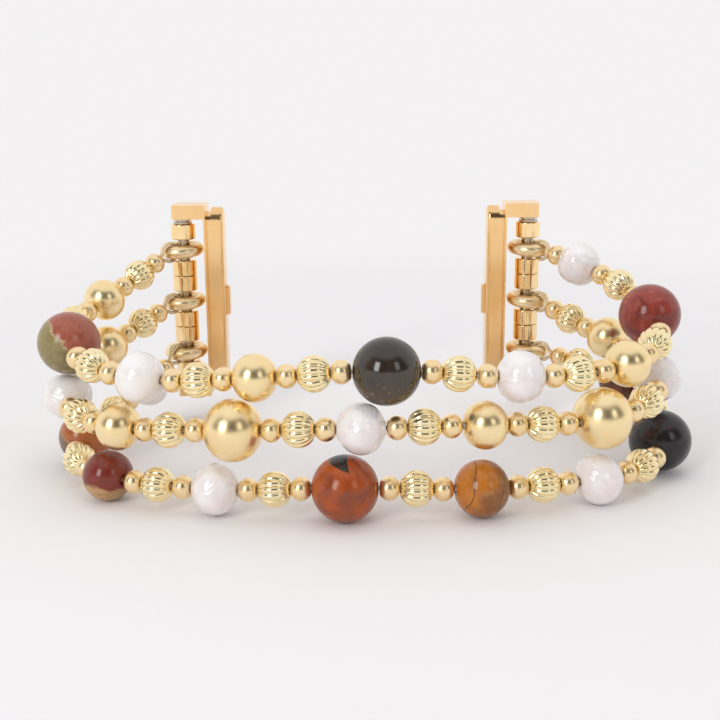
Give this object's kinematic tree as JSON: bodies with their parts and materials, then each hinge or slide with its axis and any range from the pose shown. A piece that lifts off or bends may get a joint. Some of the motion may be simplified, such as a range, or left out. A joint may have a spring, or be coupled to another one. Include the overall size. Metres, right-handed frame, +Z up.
{
  "type": "bead watch band",
  "caption": "Elastic band of three strands of gold, pearl and stone beads, held by rings on the spring bars of two slide-in connectors.",
  "frame": {"origin": "middle of the bottom of the band's bounding box, with the band standing on its edge", "axes": "+Z up along the spring bars, +X to the right seen from the front of the beads, +Y from the front of the beads towards the connectors"},
  "size_m": [0.0872, 0.0511, 0.0339],
  "materials": {
    "polished_gold": "polished plate",
    "satin_gold": "satin plate",
    "bar_steel": "bright steel",
    "spring_steel": "drawn wire",
    "elastic_cord": "clear elastic",
    "pearl": "pearly gloss",
    "green_stone": "polished",
    "smoky_stone": "polished, glassy",
    "red_stone": "polished",
    "orange_stone": "polished",
    "dark_red_stone": "polished",
    "brown_red_stone": "polished",
    "tiger_stone": "polished, banded",
    "black_stone": "polished",
    "brown_stone": "polished"
  },
  "bodies": {
    "left_end_link": {"spacer_beads_left_end": "satin_gold", "cords_left_end": "elastic_cord"},
    "left_side_link": {"spacer_beads_left_side": "satin_gold", "cords_left_side": "elastic_cord"},
    "left_front_link": {"spacer_beads_left_front": "satin_gold", "cords_left_front": "elastic_cord"},
    "front_link": {"spacer_beads_front": "satin_gold", "cords_front": "elastic_cord"},
    "right_front_link": {"spacer_beads_right_front": "satin_gold", "cords_right_front": "elastic_cord"},
    "right_turn_link": {"spacer_beads_right_turn": "satin_gold", "cords_right_turn": "elastic_cord"},
    "right_side_link": {"spacer_beads_right_side": "satin_gold", "cords_right_side": "elastic_cord"},
    "right_end_link": {"spacer_beads_right_end": "satin_gold", "cords_right_end": "elastic_cord"},
    "left_ring_set": {"left_rings": "polished_gold"},
    "right_ring_set": {"right_rings": "polished_gold"},
    "left_connector": {"left_lug": "polished_gold", "left_catch_spring": "spring_steel"},
    "right_connector": {"right_lug": "polished_gold", "right_catch_spring": "spring_steel"},
    "left_tip": {"left_bar_tip": "bar_steel"},
    "right_tip": {"right_bar_tip": "bar_steel"},
    "left_catch": {"left_catch_button": "polished_gold"},
    "right_catch": {"right_catch_button": "polished_gold"},
    "left_bar": {"left_spring_bar": "bar_steel", "left_bar_spring": "spring_steel"},
    "right_bar": {"right_spring_bar": "bar_steel", "right_bar_spring": "spring_steel"},
    "left_barrel_set": {"left_barrels": "polished_gold"},
    "right_barrel_set": {"right_barrels": "polished_gold"},
    "top_1_gold_bead": {"top_1_gold_bead": "satin_gold"},
    "top_2_green_stone": {"top_2_green_stone": "green_stone"},
    "top_3_pearl": {"top_3_pearl": "pearl"},
    "top_4_gold_bead": {"top_4_gold_bead": "satin_gold"},
    "top_5_smoky_stone": {"top_5_smoky_stone": "smoky_stone"},
    "top_6_pearl": {"top_6_pearl": "pearl"},
    "top_7_gold_bead": {"top_7_gold_bead": "satin_gold"},
    "top_8_red_stone": {"top_8_red_stone": "red_stone"},
    "top_9_pearl": {"top_9_pearl": "pearl"},
    "middle_1_gold_bead": {"middle_1_gold_bead": "satin_gold"},
    "middle_2_pearl": {"middle_2_pearl": "pearl"},
    "middle_3_gold_bead": {"middle_3_gold_bead": "satin_gold"},
    "middle_4_large_gold_bead": {"middle_4_large_gold_bead": "satin_gold"},
    "middle_5_pearl": {"middle_5_pearl": "pearl"},
    "middle_6_gold_bead": {"middle_6_gold_bead": "satin_gold"},
    "middle_7_large_gold_bead": {"middle_7_large_gold_bead": "satin_gold"},
    "middle_8_pearl": {"middle_8_pearl": "pearl"},
    "middle_9_gold_bead": {"middle_9_gold_bead": "satin_gold"},
    "bottom_1_pearl": {"bottom_1_pearl": "pearl"},
    "bottom_2_orange_stone": {"bottom_2_orange_stone": "orange_stone"},
    "bottom_3_dark_red_stone": {"bottom_3_dark_red_stone": "dark_red_stone"},
    "bottom_4_pearl": {"bottom_4_pearl": "pearl"},
    "bottom_5_brown_red_stone": {"bottom_5_brown_red_stone": "brown_red_stone"},
    "bottom_6_tiger_stone": {"bottom_6_tiger_stone": "tiger_stone"},
    "bottom_7_pearl": {"bottom_7_pearl": "pearl"},
    "bottom_8_black_stone": {"bottom_8_black_stone": "black_stone"},
    "bottom_9_brown_stone": {"bottom_9_brown_stone": "brown_stone"}
  },
  "joints": [
    {"name": "flex_left_front", "type": "hinge", "parent": "front_link", "child": "left_front_link", "pos_m": [-0.0225, -0.01849, 0.01909], "axis": [0, 0, 1], "range_deg": [-12, 12]},
    {"name": "flex_left_side", "type": "hinge", "parent": "left_front_link", "child": "left_side_link", "pos_m": [-0.03684, -0.01077, 0.01909], "axis": [0, 0, 1], "range_deg": [-16, 24]},
    {"name": "flex_left_end", "type": "hinge", "parent": "left_side_link", "child": "left_end_link", "pos_m": [-0.03996, 0.00406, 0.01909], "axis": [0, 0, 1], "range_deg": [-16, 20]},
    {"name": "flex_right_front", "type": "hinge", "parent": "front_link", "child": "right_front_link", "pos_m": [0.01007, -0.02068, 0.01909], "axis": [0, 0, 1], "range_deg": [-12, 10]},
    {"name": "flex_right_turn", "type": "hinge", "parent": "right_front_link", "child": "right_turn_link", "pos_m": [0.02498, -0.01741, 0.01909], "axis": [0, 0, 1], "range_deg": [-16, 12]},
    {"name": "flex_right_side", "type": "hinge", "parent": "right_turn_link", "child": "right_side_link", "pos_m": [0.03542, -0.01097, 0.01909], "axis": [0, 0, 1], "range_deg": [-24, 16]},
    {"name": "flex_right_end", "type": "hinge", "parent": "right_side_link", "child": "right_end_link", "pos_m": [0.03794, 0.00717, 0.01909], "axis": [0, 0, 1], "range_deg": [-10, 8]},
    {"name": "left_rings_swing", "type": "hinge", "parent": "left_end_link", "child": "left_ring_set", "pos_m": [-0.02984, 0.02038, 0.0189], "axis": [0, 0, 1], "range_deg": [-8, 8]},
    {"name": "right_rings_swing", "type": "hinge", "parent": "right_end_link", "child": "right_ring_set", "pos_m": [0.02607, 0.02042, 0.0189], "axis": [0, 0, 1], "range_deg": [-8, 8]},
    {"name": "left_connector_swing", "type": "hinge", "parent": "left_ring_set", "child": "left_connector", "pos_m": [-0.02811, 0.02253, 0.01909], "axis": [0, 0, 1], "range_deg": [-40, 40]},
    {"name": "right_connector_swing", "type": "hinge", "parent": "right_ring_set", "child": "right_connector", "pos_m": [0.02429, 0.02253, 0.01909], "axis": [0, 0, 1], "range_deg": [-40, 40]},
    {"name": "left_bar_tip_press", "type": "slide", "parent": "left_bar", "child": "left_tip", "axis": [0, 0, -1], "range_m": [0, 0.0012], "stiffness_N_per_m": 200, "deforming": ["left_bar_spring"]},
    {"name": "right_bar_tip_press", "type": "slide", "parent": "right_bar", "child": "right_tip", "axis": [0, 0, -1], "range_m": [0, 0.0012], "stiffness_N_per_m": 200, "deforming": ["right_bar_spring"]},
    {"name": "left_catch_press", "type": "slide", "parent": "left_connector", "child": "left_catch", "axis": [-1, 0, 0], "range_m": [0, 0.0006], "stiffness_N_per_m": 200, "deforming": ["left_catch_spring"]},
    {"name": "right_catch_press", "type": "slide", "parent": "right_connector", "child": "right_catch", "axis": [1, 0, 0], "range_m": [0, 0.0006], "stiffness_N_per_m": 200, "deforming": ["right_catch_spring"]},
    {"name": "left_bar_turn", "type": "hinge", "parent": "left_connector", "child": "left_bar", "pos_m": [-0.02811, 0.02253, 0.01909], "axis": [0, 0, 1], "continuous": true},
    {"name": "right_bar_turn", "type": "hinge", "parent": "right_connector", "child": "right_bar", "pos_m": [0.02429, 0.02253, 0.01909], "axis": [0, 0, 1], "continuous": true},
    {"name": "left_barrels_turn", "type": "hinge", "parent": "left_connector", "child": "left_barrel_set", "pos_m": [-0.02811, 0.02253, 0.01909], "axis": [0, 0, 1], "continuous": true},
    {"name": "right_barrels_turn", "type": "hinge", "parent": "right_connector", "child": "right_barrel_set", "pos_m": [0.02429, 0.02253, 0.01909], "axis": [0, 0, 1], "continuous": true},
    {"name": "top_1_gold_bead_spin", "type": "hinge", "parent": "left_end_link", "child": "top_1_gold_bead", "pos_m": [-0.03798, 0.01064, 0.02143], "axis": [-0.513, -0.8041, -0.3006], "continuous": true},
    {"name": "top_2_green_stone_spin", "type": "hinge", "parent": "left_side_link", "child": "top_2_green_stone", "pos_m": [-0.03942, -0.00492, 0.01862], "axis": [0.3414, -0.9313, -0.1268], "continuous": true},
    {"name": "top_3_pearl_spin", "type": "hinge", "parent": "left_front_link", "child": "top_3_pearl", "pos_m": [-0.02796, -0.01616, 0.01679], "axis": [0.9417, -0.3354, -0.0279], "continuous": true},
    {"name": "top_4_gold_bead_spin", "type": "hinge", "parent": "front_link", "child": "top_4_gold_bead", "pos_m": [-0.01346, -0.01977, 0.01763], "axis": [0.9854, -0.1508, 0.0793], "continuous": true},
    {"name": "top_5_smoky_stone_spin", "type": "hinge", "parent": "front_link", "child": "top_5_smoky_stone", "pos_m": [0.00234, -0.02064, 0.0186], "axis": [0.9993, 0.0348, -0.0103], "continuous": true},
    {"name": "top_6_pearl_spin", "type": "hinge", "parent": "right_front_link", "child": "top_6_pearl", "pos_m": [0.01853, -0.01855, 0.01734], "axis": [0.9727, 0.225, -0.0573], "continuous": true},
    {"name": "top_7_gold_bead_spin", "type": "hinge", "parent": "right_turn_link", "child": "top_7_gold_bead", "pos_m": [0.03248, -0.01303, 0.0175], "axis": [0.7763, 0.6215, 0.1051], "continuous": true},
    {"name": "top_8_red_stone_spin", "type": "hinge", "parent": "right_side_link", "child": "top_8_red_stone", "pos_m": [0.03831, 0.0013, 0.02078], "axis": [-0.0877, 0.9617, 0.2598], "continuous": true},
    {"name": "top_9_pearl_spin", "type": "hinge", "parent": "right_end_link", "child": "top_9_pearl", "pos_m": [0.03096, 0.01507, 0.02549], "axis": [-0.6489, 0.7256, 0.2292], "continuous": true},
    {"name": "middle_1_gold_bead_spin", "type": "hinge", "parent": "left_end_link", "child": "middle_1_gold_bead", "pos_m": [-0.03778, 0.0101, 0.01471], "axis": [-0.5321, -0.7996, -0.2783], "continuous": true},
    {"name": "middle_2_pearl_spin", "type": "hinge", "parent": "left_side_link", "child": "middle_2_pearl", "pos_m": [-0.04027, -0.00419, 0.01115], "axis": [0.2351, -0.9608, -0.1469], "continuous": true},
    {"name": "middle_3_gold_bead_spin", "type": "hinge", "parent": "left_front_link", "child": "middle_3_gold_bead", "pos_m": [-0.03106, -0.01589, 0.01041], "axis": [0.8903, -0.4549, 0.0178], "continuous": true},
    {"name": "middle_4_large_gold_bead_spin", "type": "hinge", "parent": "front_link", "child": "middle_4_large_gold_bead", "pos_m": [-0.01621, -0.02037, 0.01127], "axis": [0.9816, -0.1834, 0.0535], "continuous": true},
    {"name": "middle_5_pearl_spin", "type": "hinge", "parent": "front_link", "child": "middle_5_pearl", "pos_m": [-0.00071, -0.02184, 0.01186], "axis": [0.9998, -0.0012, 0.0202], "continuous": true},
    {"name": "middle_6_gold_bead_spin", "type": "hinge", "parent": "right_front_link", "child": "middle_6_gold_bead", "pos_m": [0.01416, -0.02055, 0.01186], "axis": [0.9845, 0.1733, -0.0258], "continuous": true},
    {"name": "middle_7_large_gold_bead_spin", "type": "hinge", "parent": "right_turn_link", "child": "middle_7_large_gold_bead", "pos_m": [0.02903, -0.01612, 0.01133], "axis": [0.9021, 0.4305, 0.0299], "continuous": true},
    {"name": "middle_8_pearl_spin", "type": "hinge", "parent": "right_side_link", "child": "middle_8_pearl", "pos_m": [0.03851, -0.00385, 0.01314], "axis": [0.1649, 0.9769, 0.1357], "continuous": true},
    {"name": "middle_9_gold_bead_spin", "type": "hinge", "parent": "right_end_link", "child": "middle_9_gold_bead", "pos_m": [0.03452, 0.01032, 0.01554], "axis": [-0.6136, 0.7624, 0.2056], "continuous": true},
    {"name": "bottom_1_pearl_spin", "type": "hinge", "parent": "left_end_link", "child": "bottom_1_pearl", "pos_m": [-0.0332, 0.01436, 0.00767], "axis": [-0.492, -0.7908, -0.3641], "continuous": true},
    {"name": "bottom_2_orange_stone_spin", "type": "hinge", "parent": "left_side_link", "child": "bottom_2_orange_stone", "pos_m": [-0.03945, 0.00035, 0.00394], "axis": [-0.0906, -0.9876, -0.128], "continuous": true},
    {"name": "bottom_3_dark_red_stone_spin", "type": "hinge", "parent": "left_front_link", "child": "bottom_3_dark_red_stone", "pos_m": [-0.03318, -0.01396, 0.00333], "axis": [0.799, -0.6013, -0.0049], "continuous": true},
    {"name": "bottom_4_pearl_spin", "type": "hinge", "parent": "front_link", "child": "bottom_4_pearl", "pos_m": [-0.01874, -0.01944, 0.00343], "axis": [0.9764, -0.2133, 0.0326], "continuous": true},
    {"name": "bottom_5_brown_red_stone_spin", "type": "hinge", "parent": "front_link", "child": "bottom_5_brown_red_stone", "pos_m": [-0.00272, -0.02133, 0.00415], "axis": [0.9996, -0.0249, 0.0115], "continuous": true},
    {"name": "bottom_6_tiger_stone_spin", "type": "hinge", "parent": "right_front_link", "child": "bottom_6_tiger_stone", "pos_m": [0.01392, -0.02013, 0.00367], "axis": [0.9848, 0.1704, -0.0333], "continuous": true},
    {"name": "bottom_7_pearl_spin", "type": "hinge", "parent": "right_turn_link", "child": "bottom_7_pearl", "pos_m": [0.02893, -0.01588, 0.0034], "axis": [0.9133, 0.4072, 0.0099], "continuous": true},
    {"name": "bottom_8_black_stone_spin", "type": "hinge", "parent": "right_side_link", "child": "bottom_8_black_stone", "pos_m": [0.03942, -0.00362, 0.00447], "axis": [0.2738, 0.9471, 0.1673], "continuous": true},
    {"name": "bottom_9_brown_stone_spin", "type": "hinge", "parent": "right_end_link", "child": "bottom_9_brown_stone", "pos_m": [0.03723, 0.01205, 0.00859], "axis": [-0.5328, 0.8174, 0.2189], "continuous": true}
  ]
}
